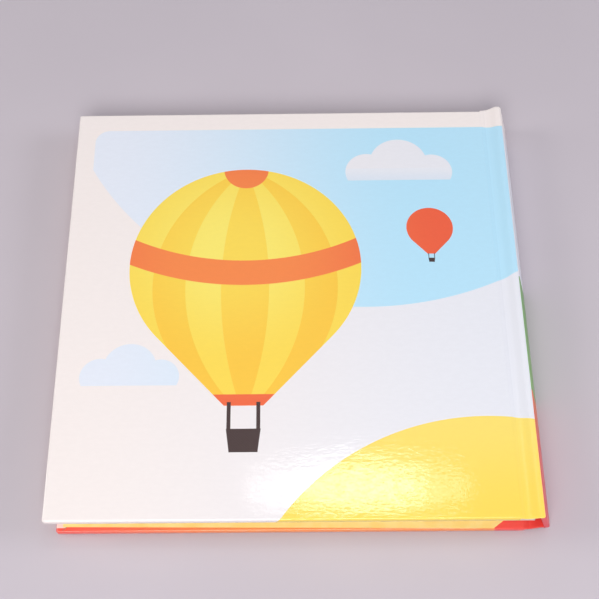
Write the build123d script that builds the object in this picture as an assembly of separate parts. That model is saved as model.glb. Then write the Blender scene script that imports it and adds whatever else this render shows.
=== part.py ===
from build123d import *
import os
from math import radians, sin, sqrt

os.makedirs("parts", exist_ok=True)

# A hard-cover board book that lies on its front cover, with the spine at +X and the head at +Y.
# The origin is under the middle of its box. All sizes are in millimetres.

# Covers: a greyboard inside a printed and laminated paper wrap
cover_width = 200.0       # one cover, from its fore-edge to the joint
cover_height = 210.0      # from tail to head
board_thickness = 2.7
paper_thickness = 0.3     # wrap paper with its glue and film, and each end sheet
ink_thickness = 0.1       # the print, let into the paper's outer face
turn_in = 15.0            # how far the wrap is folded over the inside of a board
mitre_gap = 0.3           # the slit between two folded strips at a corner
edge_round = 1.3          # the wrap over the outer edge of a board
inner_round = 0.8         # the wrap over the inner edge of a board
corner_round = 1.8        # the corners of a cover, seen from above

# Joints and spine
joint_width = 8.0         # from the board to the spine
joint_pull = 1.7          # the front cover's joint is pulled wider than this
back_groove = 0.5         # depth of the pressed groove in the back cover's joint
front_groove = 1.6        # the same in the front cover's joint
groove_slope = 1.2        # the paper goes down into a groove over this width
spine_card_thickness = 2.0
crest_rise = 0.8          # how far the spine stands above the back cover
crest_clearance = 0.3     # the spine's lower edge above the table
crest_round = 1.3
split_gap = 0.2           # the paper is parted by this along each hinge
hollow = 1.5              # open space between the leaves' back and the spine

# Leaves
leaf_count = 7
leaf_thickness = 1.55
leaf_square = 3.5         # the covers stand this far past the leaves at tail and head
leaf_corner = 6.0
leaf_bevel = 0.3          # the cut edges of a leaf are pressed down
lining_thickness = 0.4
lining_margin = 6.0

# End sheets, pasted on the insides of the covers
sheet_fore_margin = 3.0
sheet_tail_margin = 2.3   # at the fore-edge, and it runs out towards the joint
sheet_head_margin = 2.4
sheet_clip = 12.5         # corners cut off beside the joint
sheet_askew = 0.62        # degrees
sheet_step = 1.0          # the sheet steps down this far inside the folded strips

# How the case has slid out of square
skew = 3.4                # the front cover lies this far to the spine side of the back cover
cap_head = 2.0            # the spine stands proud of the back cover at the head
cap_foot = 1.0            # the same at the foot of the spine
cap_tail = 1.2            # there it falls short of the covers at the tail

# The print: a plain border, hills, clouds and two hot-air balloons, in flat colours.
# Its places are measured from the joint, to the right, and from the tail,
# apart from the sky and the cloud in it, which are measured from the head.
border_fore = 7.0
border_head = 9.0
border_corner = 6.0
large_balloon = (-116.0, 122.0, 54.0)   # middle and radius
small_balloon = (-29.0, 142.0, 11.0)
band_centre = (-116.0, 246.0)
band_radius = 134.0
band_width = 13.0
sky_middle = (-60.0, 40.0)
sky_radius = 150.0
near_hill = (-10.0, -66.0)
near_hill_radius = 112.0
white_cloud = (-42.0, -36.0, 14.0)      # middle and size, left open in the sky
blue_cloud = (-167.0, 66.0, 12.0)
front_border = 18.0
front_panel_corner = 12.0
spine_fields = {"red": 37.0, "orange": 21.0, "green": 57.0}   # lengths, from the tail

# The parts of a balloon, in its radii, and of a cloud, in its size
mouth_drop = 1.3          # from the middle to the mouth
mouth_width = 0.32
stripe_edges = (0.78, 0.5, 0.2)   # half widths of the panels at which the stripes start and end
crown_cap = 0.2
skirt_height = 0.1
basket_drop = 0.2         # from the mouth to the basket
basket_width = 0.28       # at its rim
basket_foot = 0.23        # width at its foot
basket_height = 0.2
rope_width = 0.032
rope_spread = 0.12
cloud_puffs = ((-1.1, 0.0, 0.75), (0.0, 0.35, 1.0), (1.15, 0.0, 0.7))   # middles and radii
cloud_foot = 0.35         # the flat base lies this far under the middles of the outer puffs

# Levels and places that follow from these sizes
cover_thickness = board_thickness + 2 * paper_thickness
block_low = cover_thickness + paper_thickness
block_high = block_low + leaf_count * leaf_thickness
case_top = block_high + paper_thickness + cover_thickness
print_foot = case_top - paper_thickness - board_thickness
crest_top = case_top + crest_rise
spine_thickness = spine_card_thickness + 2 * paper_thickness
bevel_share = 2 - sqrt(2)   # a bevel of this share of a round touches it at its middle
spine_lean = skew + joint_pull
spine_slope = spine_lean / (crest_top - crest_clearance)
foot_loss = crest_round * (spine_slope + sqrt(1 + spine_slope ** 2) - 1)
overall_width = cover_width + joint_width + spine_thickness + spine_lean - foot_loss
back_x = -overall_width / 2
front_x = back_x + skew
tail_y = -(cover_height + cap_head) / 2
head_y = tail_y + cover_height
hinge_reach = cover_width + joint_width / 2
sheet_rise = (cover_width - sheet_fore_margin) * sin(radians(sheet_askew))
back_hinge = Vector(back_x + hinge_reach, 0, crest_top)
front_hinge = Vector(front_x + hinge_reach, 0, 0)

pieces = {}


def keep(name, shape):
    """Name a finished piece."""
    shape.label = name
    pieces[name] = shape


def plate(x0, x1, y0, y1, z0, z1):
    """A rectangular block between six limits."""
    return Pos((x0 + x1) / 2, (y0 + y1) / 2, (z0 + z1) / 2) * Box(x1 - x0, y1 - y0, z1 - z0)


def prism(face, z0, z1):
    """A flat outline raised between two levels."""
    return extrude(Pos(0, 0, z0) * face, z1 - z0)


def area(*points):
    """A flat outline with straight sides."""
    return make_face(Polyline(*points, close=True))


def run_along(face, y0, y1):
    """An outline drawn in x and z and run along the book from y0 to y1."""
    return Pos(0, y0, 0) * extrude(Plane.XZ * face, amount=y1 - y0, dir=(0, 1, 0))


def lean(z):
    """How far the leaves have moved to the spine side at a height."""
    return skew * (1 - z / crest_top)


# One cover, lying outside down with its fore-edge at x = 0 and its tail at y = 0

def slab(inset):
    """The block of a cover, drawn in by the paper's thickness or not."""
    block = plate(inset, cover_width, inset, cover_height - inset, inset, cover_thickness - inset)
    corners = block.edges().filter_by(Axis.Z).group_by(Axis.X)[0]
    return fillet(corners, corner_round - inset)


def rims(block, face):
    """The edges of a block's lowest or highest face, apart from the one at the spine."""
    edges = block.faces().sort_by(Axis.Z)[face].edges()
    spine_side = edges.filter_by(Axis.Y).sort_by(Axis.X)[-1]
    return [edge for edge in edges if edge != spine_side]


def soft_slab(inset):
    """A cover's block with the rounded edges that folded paper has."""
    block = slab(inset)
    block = fillet(rims(block, 0), edge_round - inset)
    return fillet(rims(block, -1), inner_round - inset)


def board():
    """The greyboard, its edges pressed down so that the paper over them keeps its thickness."""
    block = slab(paper_thickness)
    block = chamfer(rims(block, 0), bevel_share * (edge_round - paper_thickness))
    return chamfer(rims(block, -1), bevel_share * (inner_round - paper_thickness))


def joint_plan(x, width, y0, y1, tail_fall, head_rise):
    """The paper across a joint from above: its ends slant from the board to the spine."""
    near = x + width
    far = near + joint_width
    return area(
        (x, y0), (near, y0 + tail_fall), (far, y0 + tail_fall),
        (far, y1 + head_rise), (near, y1 + head_rise), (x, y1),
    )


def joint_line(groove, depth):
    """A fold line of the joint paper, at a depth under its outer face."""
    bend = cover_width + groove_slope
    far = hinge_reach - split_gap / 2
    return [(cover_width, depth), (bend, groove + depth), (far, groove + depth)]


def joint_layer(groove, tail_fall, head_rise, depth0, depth1):
    """The paper of a joint between two depths, with its slanting ends."""
    outline = joint_line(groove, depth0) + joint_line(groove, depth1)[::-1]
    layer = run_along(area(*outline), 0, cover_height + head_rise)
    plan = joint_plan(cover_width, joint_width, 0, cover_height, tail_fall, head_rise)
    return layer & prism(plan, 0, cover_thickness)


def joint_flap(groove, tail_fall, head_rise):
    """The wrap from the board's edge down into the groove, as far as the hinge."""
    far = hinge_reach - split_gap / 2
    length = cover_height + head_rise
    flap = joint_layer(groove, tail_fall, head_rise, 0, paper_thickness)
    fold = joint_layer(groove, tail_fall, head_rise, paper_thickness, 2 * paper_thickness)
    wall = plate(cover_width, cover_width + paper_thickness, 0, length, paper_thickness, cover_thickness)
    plan = joint_plan(cover_width, joint_width, 0, cover_height, tail_fall, head_rise)
    wall &= prism(plan, 0, cover_thickness)
    middle = plate(cover_width, far, turn_in, cover_height - turn_in, 0, cover_thickness)
    return flap + (fold + wall - middle)


def wrap(groove, tail_fall, head_rise):
    """The printed paper: outer face, three folded edges, folded strips and joint flap."""
    window = plate(turn_in, cover_width, turn_in, cover_height - turn_in,
                   cover_thickness - paper_thickness, cover_thickness)
    shell = soft_slab(0) - board() - window
    for tail_side in (True, False):
        run = turn_in * sqrt(2) + corner_round
        slit = Pos(run / 2, 0, cover_thickness) * Box(run, mitre_gap, 2 * paper_thickness)
        slit = Rot(0, 0, 45) * slit
        if not tail_side:
            slit = Pos(0, cover_height, 0) * mirror(slit, about=Plane.XZ)
        shell -= slit
    return shell + joint_flap(groove, tail_fall, head_rise)


def wrap_ink(groove, tail_fall, head_rise):
    """The outermost layer of the wrap, where the print lies."""
    skin = soft_slab(0) - soft_slab(ink_thickness)
    return skin + joint_layer(groove, tail_fall, head_rise, 0, ink_thickness)


def end_sheet():
    """The sheet pasted on the board and over the folded strips, with clipped corners."""
    low = cover_thickness - paper_thickness
    face = area(
        (sheet_fore_margin, sheet_tail_margin),
        (cover_width - sheet_clip, sheet_tail_margin - sheet_rise),
        (cover_width, sheet_tail_margin - sheet_rise + sheet_clip),
        (cover_width, cover_height - sheet_head_margin - sheet_clip),
        (cover_width - sheet_clip, cover_height - sheet_head_margin),
        (sheet_fore_margin, cover_height - sheet_head_margin),
    )
    top = prism(face, cover_thickness, block_low)
    window = plate(turn_in, cover_width, turn_in, cover_height - turn_in, low, cover_thickness)
    inset = turn_in + sheet_step
    pocket = plate(inset, cover_width, inset, cover_height - inset, cover_thickness, block_low)
    return (top - pocket) + window


def as_front(shape):
    return Pos(front_x, tail_y, 0) * shape


def as_back(shape):
    return Pos(back_x, tail_y, case_top) * mirror(shape, about=Plane.XY)


# The spine, which leans with the skewed case

def spine_outline():
    """The outer face of the spine paper from hinge to hinge, closed across the hollow."""
    top_x = back_x + cover_width + joint_width
    low_x = top_x + spine_lean
    face = area(
        (back_hinge.X + split_gap / 2, case_top - back_groove),
        (top_x, crest_top),
        (top_x + spine_thickness, crest_top),
        (low_x + spine_thickness, crest_clearance),
        (low_x, crest_clearance),
        (low_x - groove_slope, front_groove),
        (front_hinge.X + split_gap / 2, front_groove),
    )
    corners = face.vertices().sort_by(Axis.X)
    return fillet(corners[-2:], crest_round)


def leaning_band(total, depth0, depth1):
    """A band across the section that leans out by a total from the crest to the table.
    Its depths are measured from the spine's inner face."""
    top_x = back_x + cover_width + joint_width
    low_x = top_x + total
    return area(
        (low_x + depth0, 0),
        (low_x + depth1, 0),
        (top_x + depth1, crest_top),
        (top_x + depth0, crest_top),
    )


def spine_room(inset):
    """The room between the slanting head and tail ends of the spine, or a little less."""
    y0 = tail_y + inset
    y1 = head_y - inset
    middle = case_top / 2
    upper = joint_plan(back_x + cover_width, joint_width, y0, y1, 0, cap_head)
    lower = joint_plan(front_x + cover_width, joint_width, y0, y1, cap_tail, cap_foot)
    side = area((y0, crest_top), (y0 + cap_tail, 0), (y1 + cap_foot, 0), (y1 + cap_head, crest_top))
    reach = extrude(Plane.YZ * side, amount=overall_width, both=True)
    return (prism(upper, middle, crest_top) + prism(lower, 0, middle)) & reach


def spine_mouth(depth):
    """The open side of the spine towards the leaves, inside paper of one depth."""
    low = front_groove + depth
    high = case_top - back_groove - depth
    reach = split_gap + depth
    return area(
        (back_x, low),
        (front_hinge.X + split_gap / 2 + reach, low),
        (back_hinge.X + split_gap / 2 + reach, high),
        (back_x, high),
    )


def spine():
    """The spine's paper with its folded ends, and the card that the paper holds."""
    whole = spine_outline()
    inside = offset(whole, -paper_thickness, kind=Kind.INTERSECTION)
    deeper = offset(inside, -paper_thickness, kind=Kind.INTERSECTION)
    mouth = spine_mouth(2 * paper_thickness)
    joints = leaning_band(spine_lean, -joint_width - spine_lean, paper_thickness)
    folded = (inside - deeper) & joints
    folded = folded + (inside & leaning_band(spine_lean, 0, paper_thickness)) - mouth
    skin = whole - inside - mouth
    card_face = inside & leaning_band(spine_lean, paper_thickness, spine_thickness)
    card = spine_run(card_face) & spine_room(paper_thickness)
    middle = plate(back_x, -back_x + skew, tail_y + turn_in, head_y - turn_in, 0, crest_top)
    ends = spine_run(folded + card_face) - middle
    paper = (spine_run(skin) + ends) & spine_room(0)
    return paper - card, card


def spine_run(face):
    """A part of the spine's section run from tail to head."""
    return run_along(face, tail_y, head_y + cap_head)


def spine_ink():
    """The outermost layer of the spine paper."""
    whole = spine_outline()
    layer = whole - offset(whole, -ink_thickness, kind=Kind.INTERSECTION) - spine_mouth(ink_thickness)
    return spine_run(layer) & spine_room(0)


# The leaves, their lining and the strips of end sheet that hinge them to the covers

def leaves():
    """The thick leaves fused into one block, each a little further over than the next."""
    block = None
    for step in range(leaf_count):
        low = block_low + step * leaf_thickness
        start = back_x + leaf_square + lean(low + leaf_thickness / 2)
        leaf = plate(start, front_x + cover_width + joint_width, tail_y + leaf_square,
                     head_y - leaf_square, low, low + leaf_thickness)
        corners = leaf.edges().filter_by(Axis.Z).group_by(Axis.X)[0]
        leaf = fillet(corners, leaf_corner)
        leaf = chamfer(rims(leaf, 0) + rims(leaf, -1), leaf_bevel)
        block = leaf if block is None else block + leaf
    return block & run_along(leaning_band(skew, -overall_width, -hollow - lining_thickness), tail_y, head_y)


def lining():
    """The strip glued over the back of the leaves."""
    band = leaning_band(skew, -hollow - lining_thickness, -hollow)
    edge = leaf_square + lining_margin
    strip = run_along(band, tail_y + edge, head_y - edge)
    return strip & plate(back_x, -back_x, tail_y, head_y, block_low, block_high)


def end_hinge(cover_x, low, high):
    """The end sheet from a board's edge to the back of the leaves."""
    start = cover_x + cover_width + split_gap / 2
    leaf_side = high if low < block_low else low
    stop = back_x + cover_width + joint_width - hollow - lining_thickness + lean(leaf_side)
    y0 = tail_y + sheet_tail_margin - sheet_rise + sheet_clip
    return plate(start, stop, y0, head_y - sheet_head_margin - sheet_clip, low, high)


# The print, drawn flat with its origin at the joint and the tail

def cloud(x, y, size):
    """Three round puffs on a flat base."""
    puffs = Sketch()
    for across, up, radius in cloud_puffs:
        puffs += Pos(x + across * size, y + up * size) * Circle(radius * size)
    base_y = y - cloud_foot * size
    return puffs & Pos(x, base_y + cover_height / 2) * Rectangle(cover_width, cover_height)


def balloon(x, y, radius):
    """A round envelope drawn in to its mouth."""
    mouth_y = y - mouth_drop * radius
    half = mouth_width * radius / 2
    mouth = Line((x - half, mouth_y), (x + half, mouth_y))
    ball = Pos(x, y) * Circle(radius)
    return make_face(make_hull(ball.edges() + mouth.edges()))


def panel_of(x, y, radius, share):
    """The middle of an envelope, between two seams that bow out to a share of its radius."""
    mouth_y = y - mouth_drop * radius
    foot = share * mouth_width * radius / 2
    edges = Line((x - foot, mouth_y), (x + foot, mouth_y)).edges()
    for side in (-1, 1):
        seam = ThreePointArc((x, y + radius), (x + side * share * radius, y), (x + side * foot, mouth_y))
        edges += seam.edges()
    return make_face(edges)


def balloon_ends(x, y, radius):
    """The cap on the crown and the skirt at the mouth."""
    cap = Pos(x, y + radius) * Circle(crown_cap * radius)
    skirt = Pos(x, y - mouth_drop * radius) * Rectangle(radius, 2 * skirt_height * radius)
    return cap + skirt


def basket(x, y, radius):
    """A basket on two ropes under a balloon's mouth."""
    mouth_y = y - mouth_drop * radius
    rim_y = mouth_y - basket_drop * radius
    foot_y = rim_y - basket_height * radius
    rim = basket_width * radius / 2
    foot = basket_foot * radius / 2
    shape = area((x - rim, rim_y), (x + rim, rim_y), (x + foot, foot_y), (x - foot, foot_y))
    rope = Rectangle(rope_width * radius, (basket_drop + 2 * rope_width) * radius)
    for side in (-1, 1):
        shape += Pos(x + side * rope_spread * radius, (mouth_y + rim_y) / 2) * rope
    return shape


def print_fields():
    """Each colour of the back cover's print as a flat field, those in front last."""
    panel = area(
        (border_fore - cover_width, -border_fore),
        (cover_width, -border_fore),
        (cover_width, cover_height - border_head),
        (border_fore - cover_width, cover_height - border_head),
    )
    corners = panel.vertices().group_by(Axis.X)[0]
    panel = fillet(corners.sort_by(Axis.Y)[-1], border_corner)
    sky = Pos(sky_middle) * Circle(sky_radius) - cloud(*white_cloud)
    sky = Pos(0, cover_height) * sky + cloud(*blue_cloud)
    sky &= panel
    meadow = Pos(near_hill) * Circle(near_hill_radius)
    meadow &= panel
    ball = balloon(*large_balloon)
    band = Pos(band_centre) * (Circle(band_radius) - Circle(band_radius - band_width))
    ends = balloon_ends(*large_balloon)
    outer, inner, middle = (panel_of(*large_balloon, share) for share in stripe_edges)
    stripes = (outer - inner + middle) - ends
    fields = {
        "sky": sky,
        "meadow": meadow,
        "balloon": ball,
        "stripes": stripes,
        "trim": balloon(*small_balloon) + (ball & (band + ends)),
        "baskets": basket(*large_balloon) + basket(*small_balloon),
    }
    names = list(fields)
    for place, name in enumerate(names):
        for nearer in names[place + 1:]:
            fields[name] = fields[name] - fields[nearer]
    return fields


def part_print(paper, ink, prefix, names):
    """Let each colour field into a sheet of paper, and keep the sheet and the fields."""
    fields = print_fields()
    for name in names:
        field = ink & prism(Pos(back_x + cover_width, tail_y) * fields[name], print_foot, crest_top)
        keep(f"{prefix}_print_{name}", field)
        paper -= field
    keep(f"{prefix}_wrap", paper)


def spine_print(paper, ink):
    """Let the colours of the spine into its outer face, and return the paper."""
    start = tail_y
    for name, length in spine_fields.items():
        field = ink & plate(back_x, -back_x, start, start + length, 0, crest_top)
        keep(f"spine_print_{name}", field)
        paper -= field
        start += length
    return paper


keep("front_board", as_front(board()))
front_paper = as_front(wrap(front_groove, cap_tail, cap_foot))
panel_width = cover_width - 2 * front_border
panel_height = cover_height - 2 * front_border
panel = Pos(front_x + cover_width / 2, tail_y + cover_height / 2) * RectangleRounded(
    panel_width, panel_height, front_panel_corner)
front_ink = prism(panel, 0, ink_thickness)
keep("front_wrap", front_paper - front_ink)
keep("front_print_panel", front_ink)
keep("front_end_sheet", as_front(end_sheet()))
keep("back_board", as_back(board()))
back_paper = as_back(wrap(back_groove, 0, cap_head))
back_ink = as_back(wrap_ink(back_groove, 0, cap_head))
back_colours = ("sky", "meadow", "balloon", "stripes", "trim", "baskets")
part_print(back_paper, back_ink, "back", back_colours)
keep("back_end_sheet", as_back(end_sheet()))
spine_paper, spine_card = spine()
keep("spine_card", spine_card)
outer_band = spine_run(leaning_band(spine_lean, spine_thickness - paper_thickness, 2 * spine_thickness))
spine_paper = spine_print(spine_paper, spine_ink() & outer_band)
part_print(spine_paper, spine_ink() - outer_band, "spine", ("sky", "meadow"))
keep("page_block", leaves())
keep("block_lining", lining())
keep("front_end_hinge", end_hinge(front_x, cover_thickness, block_low))
keep("back_end_hinge", end_hinge(back_x, block_high, block_high + paper_thickness))

for name, shape in pieces.items():
    export_step(shape, f"parts/{name}.step")
    print(name, len(shape.solids()), round(shape.volume, 2), shape.is_valid)
print("back hinge", back_hinge, "front hinge", front_hinge, "top", crest_top, "width", overall_width)
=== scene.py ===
from math import asin, atan2, cos, hypot, pi, radians, sin, tan

import bmesh
import bpy
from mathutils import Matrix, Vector


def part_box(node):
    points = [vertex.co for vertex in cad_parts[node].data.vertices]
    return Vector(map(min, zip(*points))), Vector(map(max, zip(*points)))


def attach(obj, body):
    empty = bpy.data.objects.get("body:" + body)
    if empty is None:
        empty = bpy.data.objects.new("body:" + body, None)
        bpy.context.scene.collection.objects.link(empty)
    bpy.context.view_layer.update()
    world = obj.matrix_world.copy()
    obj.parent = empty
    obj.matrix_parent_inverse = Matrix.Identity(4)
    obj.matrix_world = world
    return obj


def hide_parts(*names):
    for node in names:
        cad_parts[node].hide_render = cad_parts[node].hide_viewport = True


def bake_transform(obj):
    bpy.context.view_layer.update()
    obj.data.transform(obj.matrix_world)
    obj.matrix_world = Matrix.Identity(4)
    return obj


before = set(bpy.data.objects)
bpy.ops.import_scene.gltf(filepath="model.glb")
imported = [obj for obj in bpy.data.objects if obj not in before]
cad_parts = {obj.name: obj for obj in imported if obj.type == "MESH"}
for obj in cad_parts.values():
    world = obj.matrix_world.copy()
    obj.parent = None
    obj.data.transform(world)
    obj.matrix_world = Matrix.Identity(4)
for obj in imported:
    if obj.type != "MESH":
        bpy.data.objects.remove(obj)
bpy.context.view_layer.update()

# A hard-cover board book that lies on its front cover. Metres, in the frame of the CAD model.

mm = 0.001

# Sizes of the case
cover_width = 200 * mm
cover_height = 210 * mm
cover_thickness = 3.3 * mm
paper = 0.3 * mm
turn_in = 15 * mm
mitre_gap = 0.3 * mm
mitre_shift = 2.2 * mm     # the fore-edge strip is folded last, over the ends of the others
edge_round = 1.0 * mm
inner_round = 0.8 * mm
corner_round = 1.1 * mm
joint_width = 8 * mm
joint_pull = 1.7 * mm
front_groove = 1.6 * mm
spine_thickness = 2.6 * mm
crest_rise = 0.8 * mm
clearance = 0.3 * mm
crest_round = 1.3 * mm
skew = 3.4 * mm
cap_head = 2 * mm
cap_foot = 1 * mm
cap_tail = 1.2 * mm

# Leaves and end sheets
leaf_count = 7
leaf_thickness = 1.55 * mm
leaf_square = 3.5 * mm
leaf_corner = 6 * mm
hollow = 1.9 * mm          # to the back of the leaves, with their lining
sheet_fore = 3 * mm
sheet_tail = 2.3 * mm
sheet_head = 2.4 * mm
sheet_clip = 12.5 * mm     # the corners cut off beside the joint, along the sheet
sheet_clip_up = 9.5 * mm   # and up it
sheet_rise = 2.13 * mm     # the margin at the tail runs out by this towards the joint
askew_reach = 40 * mm      # and evens out over this height
step_run = 1.5 * mm        # the sheet steps down inside the folded strips over this width
cut_edge_round = 0.28 * mm
leaf_gap = 0.02 * mm       # between a leaf and the next, on each side
leaf_stray = 0.15 * mm     # the leaves are this far out of line at the fore-edge

# The meshes: cuts along and up the sheets, and steps round a fold
cover_cuts = 24
sheet_cuts = 16
sheet_rows = 20
hinge_cuts = 14
corner_steps = 5
edge_steps = 6
inner_steps = 4
crest_steps = 6
face_steps = 5
groove_steps = 9
leaf_steps = 8
paper_set = 0.96 * paper   # the drawn thickness, so that no two sheets share a face
sheet_set = 0.9 * paper
press = 0.01 * mm          # each end sheet is pressed this far towards its board

# The back joint: millimetres across from the board, and down from the cover's face
back_joint_line = (
    (0.7, 0.06), (1.1, 0.15), (1.6, 0.28), (2.1, 0.39), (2.7, 0.47), (3.3, 0.5), (4.0, 0.48),
    (4.6, 0.4), (5.2, 0.26), (5.8, 0.06), (6.4, -0.18), (6.9, -0.38), (7.4, -0.56), (7.9, -0.7),
)
# The front joint beside the board: the outer paper's and the folded strip's places,
# millimetres across from the board and up from the table
front_joint_line = (
    ((0.35, 0.1), (0.8, 3.2)),
    ((0.8, 1.0), (1.7, 2.95)),
    ((1.3, 1.5), (2.6, 2.65)),
)
joint_slope = 1.3 * mm     # the front joint's paper comes down over this width at each side
strip_tilt = 0.3           # and the folded strip eases down at this slope

# The print, in millimetres: to the right from the back joint, and up from the tail
border_left = -191
border_foot = -7
border_top = 200
border_corner = 7
print_end = 400            # further than the sheet goes
print_crest = 10.6         # the picture ends where the spine's face begins
large_balloon = (-116, 122, 54)   # middle and radius
small_balloon = (-29, 142, 11)
glow_middle = (-122, 130, 0)      # the light side of the large balloon
band_middle = (-116, 246)
band_radius = 134
band_width = 13
sky_disc = (-60, 250, 150)
white_cloud = (-42, 174, 14)      # middle and size
blue_cloud = (-167, 66, 12)
hill_disc = (-10, -66, 112)
seams = (0.78, 0.5, 0.2)          # where the stripes start and end, in half widths
spine_colours = (                 # from, to and two tints: each runs on a little under the next
    (-30, 38, "ec3f58", "ee4c46"),
    (37, 59, "ee5a34", "f07034"),
    (58, 115, "79b456", "6cab54"),
)
front_border = 18
panel_corner = 12
red_joint = 12             # the front cover is plain red from this far inside its joint
pale_fold = (203.2, 1.9)   # the fore-edge fold is paler from here on

# A balloon, in its radii, and a cloud, in its size
mouth_drop = 1.3           # from the middle to the mouth
mouth_half = 0.16
crown_cap = 0.2
skirt_height = 0.1
rim_drop = 0.2             # from the mouth to the basket's rim
rim_half = 0.14
foot_half = 0.115
basket_height = 0.2
rope_half = 0.016
rope_spread = 0.12
cloud_puffs = ((-1.1, 0, 0.75), (0, 0.35, 1), (1.15, 0, 0.7))
cloud_foot = 0.35

# Places
back_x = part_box("back_wrap")[0][0]
tail_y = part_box("back_wrap")[0][1]
front_x = back_x + skew
head_y = tail_y + cover_height
case_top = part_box("back_board")[1][2] + paper
crest_top = case_top + crest_rise
block_low = cover_thickness + paper
block_high = block_low + leaf_count * leaf_thickness
spine_lean = skew + joint_pull


# Modelling

def begin_block(name, low, high):
    """A block between two corners, in edit mode with nothing selected."""
    low, high = Vector(low), Vector(high)
    bpy.ops.object.select_all(action="DESELECT")
    bpy.ops.mesh.primitive_cube_add(size=1, location=(low + high) / 2, scale=high - low)
    obj = bpy.context.object
    obj.name = obj.data.name = name
    bpy.ops.object.transform_apply(location=True, rotation=True, scale=True)
    bpy.ops.object.mode_set(mode="EDIT")
    bpy.ops.mesh.select_all(action="DESELECT")
    return obj


def begin_sheet(name, low, high, z):
    """A flat sheet that faces up, in edit mode with nothing selected."""
    middle = ((low[0] + high[0]) / 2, (low[1] + high[1]) / 2, z)
    bpy.ops.object.select_all(action="DESELECT")
    bpy.ops.mesh.primitive_plane_add(size=1, location=middle)
    obj = bpy.context.object
    obj.name = obj.data.name = name
    obj.scale = (high[0] - low[0], high[1] - low[1], 1)
    bpy.ops.object.transform_apply(location=True, rotation=True, scale=True)
    bpy.ops.object.mode_set(mode="EDIT")
    bpy.ops.mesh.select_all(action="DESELECT")
    return obj


def pick(obj, part, test):
    """Select the faces, edges or vertices that pass a test, and nothing else."""
    bpy.ops.mesh.select_mode(type={"faces": "FACE", "edges": "EDGE", "verts": "VERT"}[part])
    bpy.ops.mesh.select_all(action="DESELECT")
    bm = bmesh.from_edit_mesh(obj.data)
    for element in getattr(bm, part):
        if test(element):
            element.select_set(True)
    bm.select_flush_mode()
    bmesh.update_edit_mesh(obj.data)


def middle_of(element):
    points = [v.co for v in element.verts]
    return sum(points, Vector()) / len(points)


def near(a, b, slack=0.02 * mm):
    return abs(a - b) < slack


def slice_at(obj, points, normal, test=lambda face: True):
    """Cut faces with parallel planes through some points."""
    for point in points:
        pick(obj, "faces", test)
        bpy.ops.mesh.bisect(plane_co=point, plane_no=normal)


def modifier(obj, kind, **settings):
    """Add a modifier and apply it."""
    bpy.ops.object.select_all(action="DESELECT")
    bpy.context.view_layer.objects.active = obj
    obj.select_set(True)
    made = obj.modifiers.new(kind.lower(), kind)
    for name, value in settings.items():
        setattr(made, name, value)
    bpy.ops.object.modifier_apply(modifier=made.name)


def smooth(obj, angle=38):
    """Shade round forms smooth and keep sharp folds."""
    bpy.ops.object.select_all(action="DESELECT")
    bpy.context.view_layer.objects.active = obj
    obj.select_set(True)
    bpy.ops.object.shade_smooth_by_angle(angle=radians(angle))
    modifier(obj, "WEIGHTED_NORMAL", keep_sharp=True, weight=80)


# Materials

def linear(colour):
    """An sRGB hex value as linear RGBA."""
    channels = [int(colour[i:i + 2], 16) / 255 for i in (0, 2, 4)]
    return [c / 12.92 if c <= 0.04045 else ((c + 0.055) / 1.055) ** 2.4 for c in channels] + [1]


def add(tree, kind, settings, links):
    """Add a node with its settings. A link is a value, a node or one of its sockets."""
    made = tree.nodes.new("ShaderNode" + kind)
    for name, value in settings.items():
        setattr(made, name, value)
    for place, value in links.items():
        if isinstance(value, bpy.types.Node):
            value = value.outputs[0]
        if isinstance(value, bpy.types.NodeSocket):
            tree.links.new(value, made.inputs[place])
        else:
            made.inputs[place].default_value = value
    return made


def new_material(name):
    """A material with a Principled shader, and its tree."""
    material = bpy.data.materials.new(name)
    material.use_nodes = True
    return material, material.node_tree, material.node_tree.nodes["Principled BSDF"]


# Signed distances to the edges of flat shapes, in millimetres and above 0 inside them

def disc(tree, place, x, y, radius):
    gap = add(tree, "VectorMath", {"operation": "DISTANCE"}, {0: place, 1: (x, y, 0)})
    return add(tree, "Math", {"operation": "SUBTRACT"}, {0: radius, 1: gap.outputs[1]})


def side(tree, place, x, y, limit):
    """The side of a line that has (x, y) as its outward normal."""
    out = add(tree, "VectorMath", {"operation": "DOT_PRODUCT"}, {0: place, 1: (x, y, 0)})
    return add(tree, "Math", {"operation": "SUBTRACT"}, {0: limit, 1: out.outputs[1]})


def both(tree, *shapes):
    """What lies in all the shapes."""
    result = shapes[0]
    for shape in shapes[1:]:
        result = add(tree, "Math", {"operation": "MINIMUM"}, {0: result, 1: shape})
    return result


def either(tree, *shapes):
    """What lies in any of the shapes."""
    result = shapes[0]
    for shape in shapes[1:]:
        result = add(tree, "Math", {"operation": "MAXIMUM"}, {0: result, 1: shape})
    return result


def outside(tree, shape):
    return add(tree, "Math", {"operation": "MULTIPLY"}, {0: shape, 1: -1.0})


def box(tree, place, x0, x1, y0, y1):
    return both(tree, side(tree, place, -1, 0, -x0), side(tree, place, 1, 0, x1),
                side(tree, place, 0, -1, -y0), side(tree, place, 0, 1, y1))


def cloud(tree, place, x, y, size):
    puffs = [disc(tree, place, x + dx * size, y + dy * size, r * size)
             for dx, dy, r in cloud_puffs]
    return both(tree, either(tree, *puffs), side(tree, place, 0, -1, -(y - cloud_foot * size)))


def envelope(tree, place, x, y, r):
    """A ball drawn in to the mouth by two straight sides."""
    turn = asin(1 / hypot(mouth_drop, mouth_half)) - atan2(mouth_half, mouth_drop)
    low = -r * sin(turn)
    cone = both(
        tree,
        side(tree, place, cos(turn), -sin(turn), r + x * cos(turn) - y * sin(turn)),
        side(tree, place, -cos(turn), -sin(turn), r - x * cos(turn) - y * sin(turn)),
        side(tree, place, 0, 1, y + low),
        side(tree, place, 0, -1, -(y - mouth_drop * r)),
    )
    return either(tree, disc(tree, place, x, y, r), cone)


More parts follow.
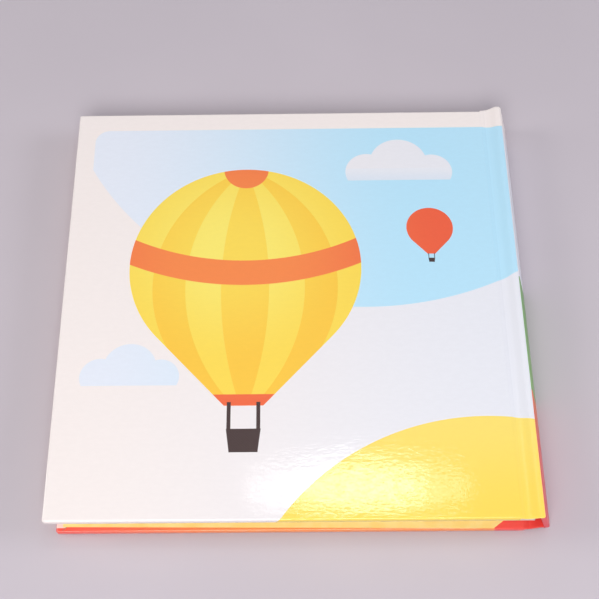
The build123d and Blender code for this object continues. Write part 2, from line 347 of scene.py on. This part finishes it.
def seam_panel(tree, place, x, y, r, share):
    """The part between two round seams through the crown, a share of the radius and the mouth."""
    foot = share * mouth_half
    scale = 2 * (foot - share * (1 + mouth_drop))
    across = (mouth_drop - share ** 2 * (1 + mouth_drop) + foot ** 2 + mouth_drop ** 2) / scale
    up = (foot - share - share ** 2 * foot + (foot ** 2 + mouth_drop ** 2) * share) / scale
    radius = hypot(across, up - 1) * r
    return both(tree, disc(tree, place, x + across * r, y + up * r, radius),
                disc(tree, place, x - across * r, y + up * r, radius))


def basket(tree, place, x, y, r):
    """A basket that narrows to its foot, on two ropes."""
    mouth = y - mouth_drop * r
    rim = mouth - rim_drop * r
    foot = rim - basket_height * r
    slope = (rim_half - foot_half) / basket_height
    long = hypot(1, slope)
    tub = both(tree, side(tree, place, 0, 1, rim), side(tree, place, 0, -1, -foot),
               side(tree, place, 1 / long, -slope / long, (x + rim_half * r - slope * rim) / long),
               side(tree, place, -1 / long, -slope / long, (-x + rim_half * r - slope * rim) / long))
    overlap = 2 * rope_half * r
    half = rope_half * r
    ropes = [box(tree, place, middle - half, middle + half, rim - overlap, mouth + overlap)
             for middle in (x - rope_spread * r, x + rope_spread * r)]
    return either(tree, tub, *ropes)


def field(tree, shape, below, colour):
    """Lay a field of colour over what is below it. Its edge is as soft as print, 1/7 mm."""
    mask = add(tree, "Math", {"operation": "MULTIPLY_ADD", "use_clamp": True},
               {0: shape, 1: 7.0, 2: 0.5})
    return add(tree, "Mix", {"data_type": "RGBA"}, {0: mask, 6: below, 7: colour}).outputs[2]


def shade(tree, value, low, high, first, last):
    """A colour that runs from one to another as a value runs between two limits."""
    share = add(tree, "MapRange", {"interpolation_type": "SMOOTHSTEP"}, {0: value, 1: low, 2: high})
    return add(tree, "Mix", {"data_type": "RGBA"}, {0: share, 6: linear(first), 7: linear(last)}).outputs[2]


def sheet_place(tree):
    """The place on the flat printed sheet, in millimetres from the joint and the tail."""
    sheet = add(tree, "Attribute", {"attribute_name": "sheet"}, {})
    return add(tree, "VectorMath", {"operation": "SCALE"}, {0: sheet.outputs["Vector"], 3: 1000.0})


def laminate(tree, shader, place):
    """Gloss film over printed paper. It gives the eye a clear, bright reflection that the paper's
    slow sag bends and fine pitting, called orange peel, breaks into streaks. Pressing the joint
    leaves the film duller there, and the spine's face is rubbed. Patterns are in millimetres."""
    shader.inputs["Roughness"].default_value = 0.42
    shader.inputs["IOR"].default_value = 1.5
    shader.inputs["Coat IOR"].default_value = 1.5
    across = add(tree, "SeparateXYZ", {}, {0: place}).outputs[0]
    dull = add(tree, "MapRange", {"interpolation_type": "SMOOTHSTEP"},
               {0: across, 1: 0.0, 2: 3.0, 3: 0.05, 4: 0.3})
    tree.links.new(dull.outputs[0], shader.inputs["Coat Roughness"])
    drawn = add(tree, "VectorMath", {"operation": "MULTIPLY"}, {0: place, 1: (0.45, 1.0, 1.0)})
    # sag of about 5 mm and peel of about 1.2 mm, both a little coarser than the real film's
    sag = add(tree, "TexNoise", {}, {"Vector": drawn, "Scale": 0.2, "Detail": 2.0})
    peel = add(tree, "TexNoise", {}, {"Vector": drawn, "Scale": 0.85, "Detail": 2.0, "Roughness": 0.6})
    low = add(tree, "Bump", {}, {"Strength": 1.0, "Distance": 0.03 * mm, "Height": sag.outputs[0]})
    top = add(tree, "Bump", {}, {"Strength": 1.0, "Distance": 0.02 * mm, "Height": peel.outputs[0],
                                 "Normal": low.outputs[0]})
    tree.links.new(top.outputs[0], shader.inputs["Coat Normal"])
    pits = add(tree, "TexNoise", {}, {"Vector": drawn, "Scale": 0.55, "Detail": 3.0, "Roughness": 0.7})
    film = add(tree, "MapRange", {"interpolation_type": "SMOOTHSTEP"},
               {0: pits.outputs[0], 1: 0.36, 2: 0.6, 3: 0.7, 4: 1.0})
    rubbed = add(tree, "MapRange", {"interpolation_type": "SMOOTHSTEP"},
                 {0: across, 1: 9.0, 2: 12.0, 3: 1.0, 4: 0.3})
    coat = add(tree, "Math", {"operation": "MULTIPLY"}, {0: film.outputs[0], 1: rubbed.outputs[0]})
    tree.links.new(coat.outputs[0], shader.inputs["Coat Weight"])


def back_print():
    """Four-colour print on white paper, under gloss film: clear, flat tints with soft gradients."""
    material, tree, shader = new_material("gloss_laminated_print")
    place = sheet_place(tree)
    axes = add(tree, "SeparateXYZ", {}, {0: place})
    u, v = axes.outputs[0], axes.outputs[1]
    corner = (border_left + border_corner, border_top - border_corner)
    square = both(tree, side(tree, place, 1, 0, corner[0]), side(tree, place, 0, -1, -corner[1]))
    border = both(tree, box(tree, place, border_left, print_end, border_foot, border_top),
                  either(tree, outside(tree, square), disc(tree, place, *corner, border_corner)))
    crest = side(tree, place, 1, 0, print_crest)
    colour = field(tree, border, linear("f9f1ee"), shade(tree, u, -200, 10, "f9f1ee", "ebeef6"))
    puff = cloud(tree, place, *white_cloud)
    sky = both(tree, disc(tree, place, *sky_disc), outside(tree, puff))
    sky = either(tree, sky, cloud(tree, place, *blue_cloud))
    colour = field(tree, both(tree, sky, border, crest), colour,
                   shade(tree, u, -190, -30, "e9f0fc", "bbe9ff"))
    # the white cloud is a little bluer towards its foot
    low, high = white_cloud[1] - 6, white_cloud[1] + 2
    colour = field(tree, both(tree, puff, side(tree, place, 0, 1, high)), colour,
                   shade(tree, v, low, high, "dfeaf7", "ebeff7"))
    hill = both(tree, disc(tree, place, *hill_disc), border, crest)
    colour = field(tree, hill, colour, shade(tree, v, 0, 46, "ffdf56", "ffe56f"))
    # the large balloon: its ball, stripes, band, cap and skirt
    x, y, r = large_balloon
    ball = envelope(tree, place, x, y, r)
    glow = add(tree, "VectorMath", {"operation": "DISTANCE"}, {0: place, 1: glow_middle}).outputs[1]
    colour = field(tree, ball, colour, shade(tree, glow, 8, 62, "ffee70", "ffdf52"))
    outer, inner, middle = [seam_panel(tree, place, x, y, r, share) for share in seams]
    stripes = either(tree, both(tree, outer, outside(tree, inner)), middle)
    colour = field(tree, both(tree, ball, stripes), colour,
                   shade(tree, glow, 8, 62, "ffdf54", "ffcd40"))
    mouth, skirt = y - mouth_drop * r, skirt_height * r
    ends = either(tree, disc(tree, place, x, y + r, crown_cap * r),
                  box(tree, place, x - r / 2, x + r / 2, mouth - skirt, mouth + skirt))
    band = both(tree, disc(tree, place, *band_middle, band_radius),
                outside(tree, disc(tree, place, *band_middle, band_radius - band_width)))
    trim = both(tree, ball, either(tree, ends, band))
    trim = either(tree, trim, envelope(tree, place, *small_balloon))
    colour = field(tree, trim, colour, shade(tree, glow, 20, 100, "fb8c48", "f2603a"))
    tubs = either(tree, basket(tree, place, *large_balloon), basket(tree, place, *small_balloon))
    weave = add(tree, "TexWave", {"bands_direction": "DIAGONAL"},
                {"Vector": place, "Scale": 0.5, "Distortion": 0.6})
    colour = field(tree, tubs, colour, shade(tree, weave.outputs[1], 0.2, 0.8, "3d2c2b", "4c3836"))
    # the spine's face: lengths of red, orange and green from the tail
    face = outside(tree, crest)
    for low, high, first, last in spine_colours:
        length = both(tree, face, box(tree, place, 0, print_end, low, high))
        colour = field(tree, length, colour, shade(tree, v, low, high, first, last))
    tree.links.new(colour, shader.inputs["Base Color"])
    laminate(tree, shader, place)
    return material


def front_print():
    """The same paper and film on the front cover: orange red round a pale panel."""
    material, tree, shader = new_material("gloss_laminated_orange")
    place = sheet_place(tree)
    u = add(tree, "SeparateXYZ", {}, {0: place}).outputs[0]
    colour = shade(tree, u, -206, -108, "fd584c", "fe944c")
    colour = field(tree, side(tree, place, -1, 0, red_joint), colour, linear("fb4a42"))
    left, right = front_border - cover_width / mm, -front_border
    low, high = front_border, cover_height / mm - front_border
    inset = panel_corner
    panel = either(
        tree,
        box(tree, place, left + inset, right - inset, low, high),
        box(tree, place, left, right, low + inset, high - inset),
        *[disc(tree, place, x, y, inset) for x in (left + inset, right - inset)
          for y in (low + inset, high - inset)])
    colour = field(tree, panel, colour, shade(tree, u, -180, -20, "fbe9b8", "fdf0cc"))
    fold = both(tree, side(tree, place, 1, 0, -pale_fold[0]), side(tree, place, 0, -1, -pale_fold[1]))
    colour = field(tree, fold, colour, linear("fcded6"))
    tree.links.new(colour, shader.inputs["Base Color"])
    laminate(tree, shader, place)
    return material


def plain_paper(name, first, last, rough):
    """Paper or card without film: a soft mottle of fibre about 6 mm across, which is coarser than
    real so that it shows, and a tooth of about 0.6 mm."""
    material, tree, shader = new_material(name)
    where = add(tree, "TexCoord", {}, {}).outputs["Object"]
    mottle = add(tree, "TexNoise", {}, {"Vector": where, "Scale": 180.0, "Detail": 4.0})
    colour = shade(tree, mottle.outputs[0], 0.3, 0.7, first, last)
    tree.links.new(colour, shader.inputs["Base Color"])
    shader.inputs["Roughness"].default_value = rough
    shader.inputs["IOR"].default_value = 1.5
    tooth = add(tree, "TexNoise", {}, {"Vector": where, "Scale": 1800.0, "Detail": 3.0})
    bump = add(tree, "Bump", {}, {"Strength": 0.4, "Distance": 0.02 * mm, "Height": tooth.outputs[0]})
    tree.links.new(bump.outputs[0], shader.inputs["Normal"])
    return material


# The case

def run_on(obj, stations):
    """Carry the open end of a cover's paper on through stations of its section.
    A station is its outer point, its inner point and how far its ends lie from the cover's."""
    along = 0.0
    for last, this in zip(stations, stations[1:]):
        out0, in0, tail0, head0 = last
        out1, in1, tail1, head1 = this
        step = Vector((out1[0] - out0[0], 0, out1[1] - out0[1]))
        along += step.length
        long0 = hypot(in0[0] - out0[0], in0[1] - out0[1])
        long1 = hypot(in1[0] - out1[0], in1[1] - out1[1])
        turn0 = atan2(in0[1] - out0[1], in0[0] - out0[0])
        turn1 = atan2(in1[1] - out1[1], in1[0] - out1[0])
        turn = (turn1 - turn0 + pi) % (2 * pi) - pi
        low0, high0 = tail_y + tail0, head_y + head0
        low1, high1 = tail_y + tail1, head_y + head1
        shift = Vector((0, (low1 + high1 - low0 - high0) / 2, 0))
        pivot = Vector((out1[0], (low1 + high1) / 2, out1[1]))
        stretch = (high1 - low1) / (high0 - low0)
        bpy.ops.mesh.extrude_region_move(TRANSFORM_OT_translate={"value": step + shift})
        bpy.ops.transform.resize(value=(long1 / long0, stretch, long1 / long0), center_override=pivot)
        bpy.ops.transform.rotate(value=turn, orient_axis="Y", center_override=pivot)
        bm = bmesh.from_edit_mesh(obj.data)
        sheet = bm.verts.layers.float_vector["sheet"]
        for vertex in bm.verts:
            if vertex.select:
                vertex[sheet] = Vector((along, vertex.co.y - tail_y, 0))
        bmesh.update_edit_mesh(obj.data)


def cover_paper(name, x, outer, up, stations):
    """The printed paper of one cover, folded over its edges, and on across the joint."""
    inner = outer - up * cover_thickness
    low = (x, tail_y, min(outer, inner))
    high = (x + cover_width, head_y, max(outer, inner))
    obj = begin_block(name, low, high)
    end = x + cover_width
    pick(obj, "faces", lambda f: near(middle_of(f).x, end))
    bpy.ops.mesh.delete(type="ONLY_FACE")
    pick(obj, "edges", lambda e: near(middle_of(e).x, x) and near(middle_of(e).z, (outer + inner) / 2))
    bpy.ops.mesh.bevel(offset=corner_round, segments=corner_steps, affect="EDGES")
    for level, radius, steps in ((outer, edge_round, edge_steps), (inner, inner_round, inner_steps)):
        pick(obj, "edges", lambda e: all(near(v.co.z, level) for v in e.verts) and not e.is_boundary)
        bpy.ops.mesh.bevel(offset=radius, segments=steps, affect="EDGES")
    # the folded strips on the inside, with their mitres
    at_inner = lambda f: all(near(v.co.z, inner) for v in f.verts)
    for point, normal in (((x + turn_in, 0, 0), (1, 0, 0)), ((0, tail_y + turn_in, 0), (0, 1, 0)),
                          ((0, head_y - turn_in, 0), (0, 1, 0))):
        slice_at(obj, [point], normal, at_inner)
    pick(obj, "faces", lambda f: at_inner(f) and middle_of(f).x > x + turn_in
         and abs(middle_of(f).y - (tail_y + head_y) / 2) < cover_height / 2 - turn_in)
    bpy.ops.mesh.delete(type="FACE")
    for corner_y, way in ((tail_y, 1), (head_y, -1)):
        normal = Vector((1, -way, 0)).normalized()
        mitre = Vector((x + mitre_shift, corner_y, inner))
        for offset in (-mitre_gap / 2, mitre_gap / 2):
            slice_at(obj, [mitre + normal * offset], normal,
                     lambda f: at_inner(f) and middle_of(f).x < x + turn_in)
        pick(obj, "faces", lambda f: at_inner(f) and middle_of(f).x < x + turn_in
             and abs((middle_of(f) - mitre).dot(normal)) < mitre_gap / 2)
        bpy.ops.mesh.delete(type="FACE")
    # even faces over the whole sheet, so that its print and its shading run smoothly
    cuts = range(1, cover_cuts)
    slice_at(obj, [(x + i * cover_width / cover_cuts, 0, 0) for i in cuts], (1, 0, 0))
    slice_at(obj, [(0, tail_y + i * cover_height / cover_cuts, 0) for i in cuts], (0, 1, 0))
    # each point's place on the flat sheet
    bm = bmesh.from_edit_mesh(obj.data)
    sheet = bm.verts.layers.float_vector.new("sheet")
    for vertex in bm.verts:
        down = abs(vertex.co.z - outer)
        fore, tail, head = vertex.co.x - x, vertex.co.y - tail_y, head_y - vertex.co.y
        under = down > cover_thickness / 2
        folded = lambda gap: -down - gap if under else gap - down
        u, v = fore, tail
        if down > 0:
            if fore - (mitre_shift if near(down, cover_thickness) else 0) <= min(tail, head):
                u = folded(fore)
            elif tail <= head:
                v = folded(tail)
            else:
                v = cover_height - folded(head)
        vertex[sheet] = Vector((u - cover_width, v, 0))
    bmesh.update_edit_mesh(obj.data)
    pick(obj, "edges", lambda e: e.is_boundary and all(near(v.co.x, end) for v in e.verts))
    run_on(obj, stations)
    bpy.ops.object.mode_set(mode="OBJECT")
    modifier(obj, "SOLIDIFY", thickness=paper_set, offset=-1, use_even_offset=False)
    smooth(obj)
    return obj


# The section of the spine, from the back joint round the crest and down to the table.
# Each row holds a point of the outer paper and one of the folded strip inside it.
slope = spine_lean / (crest_top - clearance)
flare = atan2(spine_lean, crest_top - clearance)
joint_end = back_x + cover_width + joint_width
strip_depth = spine_thickness * cos(flare)
fold = 2 * paper


def spine_face(z):
    """The outer face of the leaning spine at a height."""
    return joint_end + spine_thickness + slope * (crest_top - z)


def inside_face(point):
    """The folded strip behind a point of the spine's face."""
    return point[0] - strip_depth * cos(flare), point[1] - strip_depth * sin(flare)


def between(first, last, share):
    return first[0] + (last[0] - first[0]) * share, first[1] + (last[1] - first[1]) * share


def spine_stations():
    """From the back board's edge over the joint and round the spine, to the front joint."""
    start = back_x + cover_width
    rows = [((start, case_top), (start, case_top - cover_thickness)),
            ((start + 0.3 * mm, case_top - 0.01 * mm), (start + 0.3 * mm, case_top - 0.01 * mm - fold))]
    for across, drop in back_joint_line:
        x, z = start + across * mm, case_top - drop * mm
        rows.append(((x, z), (x, z - fold)))
    rows.append(((joint_end + 0.5 * mm, crest_top), (joint_end + 0.1 * mm, crest_top - 0.7 * mm)))
    bend = pi / 2 - flare
    centre = (joint_end + spine_thickness - crest_round * tan(bend / 2), crest_top - crest_round)
    crest = [centre_point(centre, bend * i / crest_steps) for i in range(crest_steps + 1)]
    inner_start = (joint_end + 0.12 * mm, crest_top - 0.85 * mm)
    for i, point in enumerate(crest):
        rows.append((point, between(inner_start, inside_face(crest[-1]), i / crest_steps)))
    wide = pi - bend
    low_centre = (spine_face(clearance) - crest_round * tan(wide / 2), clearance + crest_round)
    stop = low_centre[1] + crest_round * cos(bend)
    for i in range(1, face_steps + 1):
        z = crest[-1][1] + (stop - crest[-1][1]) * i / face_steps
        point = (spine_face(z), z)
        rows.append((point, inside_face(point)))
    # the folded strip turns into the front joint while the outer paper goes round the foot
    strip_start = rows[-1][1]
    last = seam_station()
    for i in range(1, crest_steps + 1):
        point = centre_point(low_centre, bend + wide * i / crest_steps)
        rows.append((point, between(strip_start, last[1], i / (crest_steps + 1))))
    rows.append(last)
    return [station(row, start, joint_width, top_side=True) for row in rows]


def seam_station():
    """Where the back's paper and the front's paper meet, at the edge of the front joint."""
    low_x = joint_end + spine_lean
    return (low_x, clearance), (low_x - 0.6 * mm, front_groove + fold)


def front_stations():
    """From the front board's edge over the front joint to the seam."""
    start = front_x + cover_width
    last = seam_station()
    width = last[0][0] - start
    rows = [((start, 0.0), (start, cover_thickness))]
    for outer, inner in front_joint_line:
        rows.append(((start + outer[0] * mm, outer[1] * mm), (start + inner[0] * mm, inner[1] * mm)))
    for i in range(1, groove_steps + 1):
        x = start + joint_slope + (width - 2 * joint_slope) * i / groove_steps
        shift = joint_slope * (1 - i / groove_steps)
        rows.append(((x, front_groove), (x + shift, front_groove + fold + strip_tilt * shift)))
    rows.append(((last[0][0] - 0.7 * mm, 1.0 * mm), (last[0][0] - 0.9 * mm, front_groove + fold)))
    rows.append(last)
    return [station(row, start, width, top_side=False) for row in rows]


def centre_point(centre, angle):
    """A point of the rounded crest or foot, from straight up and on clockwise."""
    return centre[0] + crest_round * sin(angle), centre[1] + crest_round * cos(angle)


def station(row, start, width, top_side):
    """Add to a section how far its ends lie from the cover's at tail and head."""
    out = row[0]
    share = min(max((out[0] - start) / width, 0), 1)
    if not top_side:
        return row[0], row[1], cap_tail * share, cap_foot * share
    fall = min(max((crest_top - crest_round - out[1]) / (crest_top - crest_round - clearance), 0), 1)
    if share < 1:
        fall = 0
    return row[0], row[1], cap_tail * fall * share, (cap_head + (cap_foot - cap_head) * fall) * share


def bend_over(obj):
    """Bake a sheet's place in the scene into its mesh."""
    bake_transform(obj)


def end_paper(name, x, z, up, stop_x):
    """An end sheet: pasted on the board, over the joint and onto the back of the leaves."""
    start, end = x + sheet_fore, x + cover_width
    low, high = tail_y + sheet_tail, head_y - sheet_head
    obj = begin_sheet(name, (start, low - sheet_rise), (stop_x, high), z)
    slice_at(obj, [(end - sheet_clip, 0, 0), (end, 0, 0)], (1, 0, 0))
    for corner, way in ((low - sheet_rise, 1), (high, -1)):
        point = Vector((end - sheet_clip, corner, z))
        normal = Vector((sheet_clip_up, -way * sheet_clip, 0)).normalized()
        slice_at(obj, [point], normal, lambda f: end - sheet_clip < middle_of(f).x < end)
        pick(obj, "faces", lambda f: (middle_of(f) - point).dot(normal) > 0.05 * mm
             and middle_of(f).x < end)
        bpy.ops.mesh.delete(type="FACE")
        slice_at(obj, [(0, corner + way * sheet_clip_up, 0)], (0, 1, 0), lambda f: middle_of(f).x > end)
        pick(obj, "faces", lambda f: middle_of(f).x > end
             and way * (middle_of(f).y - corner - way * sheet_clip_up) < 0)
        bpy.ops.mesh.delete(type="FACE")
    for first, last, cuts in ((end, stop_x, hinge_cuts), (start, end, sheet_cuts)):
        slice_at(obj, [(first + (last - first) * i / cuts, 0, 0) for i in range(1, cuts)], (1, 0, 0))
    slice_at(obj, [(0, low + (high - low) * i / sheet_rows, 0) for i in range(1, sheet_rows)], (0, 1, 0))
    bm = bmesh.from_edit_mesh(obj.data)
    for vertex in bm.verts:
        # the tail edge runs askew, so the margin runs out towards the joint
        share = (vertex.co.x - start) / (end - start)
        nearness = max(0, 1 - (vertex.co.y - (low - sheet_rise)) / askew_reach)
        if share < 1:
            vertex.co.y += sheet_rise * (1 - share) * nearness
        # and it steps down inside the folded strips
        inside = min(vertex.co.x - (x + turn_in), vertex.co.y - tail_y - turn_in,
                     head_y - turn_in - vertex.co.y) / step_run
        drop = paper * 0.7 * min(max(inside, 0), 1)
        if vertex.co.x < end - 1 * mm:
            vertex.co.z -= up * drop
    bmesh.update_edit_mesh(obj.data)
    if up < 0:
        bpy.ops.mesh.select_all(action="SELECT")
        bpy.ops.mesh.flip_normals()
    bpy.ops.object.mode_set(mode="OBJECT")
    modifier(obj, "SOLIDIFY", thickness=sheet_set, offset=-1)
    smooth(obj)
    return obj


def lean(z):
    """How far the leaves have moved to the spine side at a height."""
    return skew * (1 - z / crest_top)


def leaf(step):
    """One thick card leaf with two round corners and its cut edges pressed down."""
    low = block_low + step * leaf_thickness
    middle = low + leaf_thickness / 2
    fore = back_x + leaf_square + lean(middle) + leaf_stray * sin(step * 2.4)
    back = joint_end - hollow + lean(middle)
    obj = begin_block(f"leaf_{step + 1}", (fore, tail_y + leaf_square, low + leaf_gap),
                      (back, head_y - leaf_square, low + leaf_thickness - leaf_gap))
    pick(obj, "edges", lambda e: near(middle_of(e).z, middle) and middle_of(e).x < 0)
    bpy.ops.mesh.bevel(offset=leaf_corner, segments=leaf_steps, affect="EDGES")
    pick(obj, "edges", lambda e: abs(middle_of(e).z - middle) > leaf_thickness * 0.4)
    bpy.ops.mesh.bevel(offset=cut_edge_round, segments=2, affect="EDGES")
    bpy.ops.object.mode_set(mode="OBJECT")
    return obj


# Build the pieces
print_back = back_print()
print_front = front_print()
# offset paper printed solid yellow: matt, and faintly mottled where the ink sinks in
end_colour = plain_paper("yellow_end_paper", "ffde84", "ffe597", 0.6)
# clay-coated card: warm white with a silky sheen
page_face = plain_paper("coated_card_page", "f7f2e8", "fbf7ee", 0.38)
# the guillotined edge of the same card: open fibre, darker and without sheen
card_edge = plain_paper("cut_card_edge", "e2dacb", "efe8da", 0.8)
# board of recycled fibre: dull grey and flecked
board_grey = plain_paper("greyboard", "8f897f", "a39d92", 0.85)
# unbleached lining paper under dried glue: dull and a little uneven
lining_colour = plain_paper("lining_paper", "ddd6c8", "e8e2d5", 0.8)

back_paper = cover_paper("back_cover_paper", back_x, case_top, 1, spine_stations())
back_paper.data.materials.append(print_back)
bend_over(back_paper)
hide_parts("back_wrap", "back_print_sky", "back_print_meadow", "back_print_balloon",
            "back_print_stripes", "back_print_trim", "back_print_baskets", "spine_wrap",
            "spine_print_red", "spine_print_orange", "spine_print_green", "spine_print_sky",
            "spine_print_meadow")

front_paper = cover_paper("front_cover_paper", front_x, 0.0, -1, front_stations())
front_paper.data.materials.append(print_front)
bend_over(front_paper)
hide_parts("front_wrap", "front_print_panel")

back_sheet = end_paper("back_end_paper", back_x, block_high + press, -1,
                       joint_end - hollow + lean(block_high))
bend_over(back_sheet)
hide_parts("back_end_sheet", "back_end_hinge")

front_sheet = end_paper("front_end_paper", front_x, block_low - press, 1,
                        joint_end - hollow + lean(block_low))
bend_over(front_sheet)
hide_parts("front_end_sheet", "front_end_hinge")

for sheet in (back_sheet, front_sheet):
    sheet.data.materials.append(end_colour)

leaves = [leaf(step) for step in range(leaf_count)]
bpy.ops.object.select_all(action="DESELECT")
for piece in leaves:
    piece.select_set(True)
bpy.context.view_layer.objects.active = leaves[0]
bpy.ops.object.join()
leaf_block = bpy.context.object
leaf_block.name = leaf_block.data.name = "card_leaves"
leaf_block.data.materials.append(page_face)
leaf_block.data.materials.append(card_edge)
for polygon in leaf_block.data.polygons:
    polygon.material_index = 0 if abs(polygon.normal.z) > 0.98 else 1
smooth(leaf_block)
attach(leaf_block, "page_block")
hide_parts("page_block")

for node, material in (("front_board", board_grey), ("back_board", board_grey),
                       ("spine_card", board_grey), ("block_lining", lining_colour)):
    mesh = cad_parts[node].data
    mesh.materials.clear()
    mesh.materials.append(material)

# The stage: a plain pale table, painted matt, which gives a soft and faintly clouded ground
bpy.ops.object.select_all(action="DESELECT")
bpy.ops.mesh.primitive_plane_add(size=4, location=(0, 0, 0))
table = bpy.context.object
table.name = "table"
matt_paint, tree, shader = new_material("matt_painted_table")
where = add(tree, "TexCoord", {}, {}).outputs["Object"]
cloudy = add(tree, "TexNoise", {}, {"Vector": where, "Scale": 9.0, "Detail": 3.0})
tree.links.new(shade(tree, cloudy.outputs[0], 0.3, 0.7, "c6bfc7", "c9c2ca"), shader.inputs["Base Color"])
shader.inputs["Roughness"].default_value = 0.9
table.data.materials.append(matt_paint)


def lamp(name, place, aim, size, power, colour):
    """An oval soft lamp that points at a place."""
    data = bpy.data.lights.new(name, "AREA")
    data.shape = "ELLIPSE"
    data.size, data.size_y = size
    data.energy = power
    data.color = linear(colour)[:3]
    obj = bpy.data.objects.new(name, data)
    bpy.context.scene.collection.objects.link(obj)
    obj.location = place
    obj.rotation_euler = (Vector(aim) - Vector(place)).to_track_quat("-Z", "Y").to_euler()


# two lamps for the reflection near the tail, the second for its bright middle, and three soft ones
lamp("glare_softbox", (0.08, 0.245, 1.018), (0.08, -0.093, 0), (0.3, 0.085), 0.28, "fffaf8")
lamp("glare_middle", (0.08, 0.245, 1.012), (0.08, -0.093, 0), (0.18, 0.06), 0.22, "fffaf8")
lamp("front_softbox", (-0.08, -0.8, 0.84), (0, -0.02, 0), (0.75, 0.5), 7.7, "fffdfb")
lamp("left_softbox", (-1.4, 0.1, 0.8), (0, 0, 0), (0.7, 0.7), 6.6, "fffaf8")
lamp("right_softbox", (1.4, 0, 0.8), (0, 0, 0), (0.7, 0.7), 7.6, "f8f8ff")

world = bpy.data.worlds.new("studio")
bpy.context.scene.world = world
world.use_nodes = True
world.node_tree.nodes["Background"].inputs[0].default_value = linear("f2f0f4")
world.node_tree.nodes["Background"].inputs[1].default_value = 0.36

# The camera, as the photograph's outlines place it
camera_data = bpy.data.cameras.new("camera")
camera = bpy.data.objects.new("camera", camera_data)
bpy.context.scene.collection.objects.link(camera)
camera_data.sensor_width = 36
camera_data.lens = 70.08
camera_data.shift_x = 0.0263
camera_data.clip_start = 0.01
camera.location = (-0.00066, -0.2524, 0.49047)
camera.rotation_euler = (radians(27.938), radians(0.749), radians(-0.229))
bpy.context.scene.camera = camera
bpy.context.scene.view_settings.view_transform = "Standard"
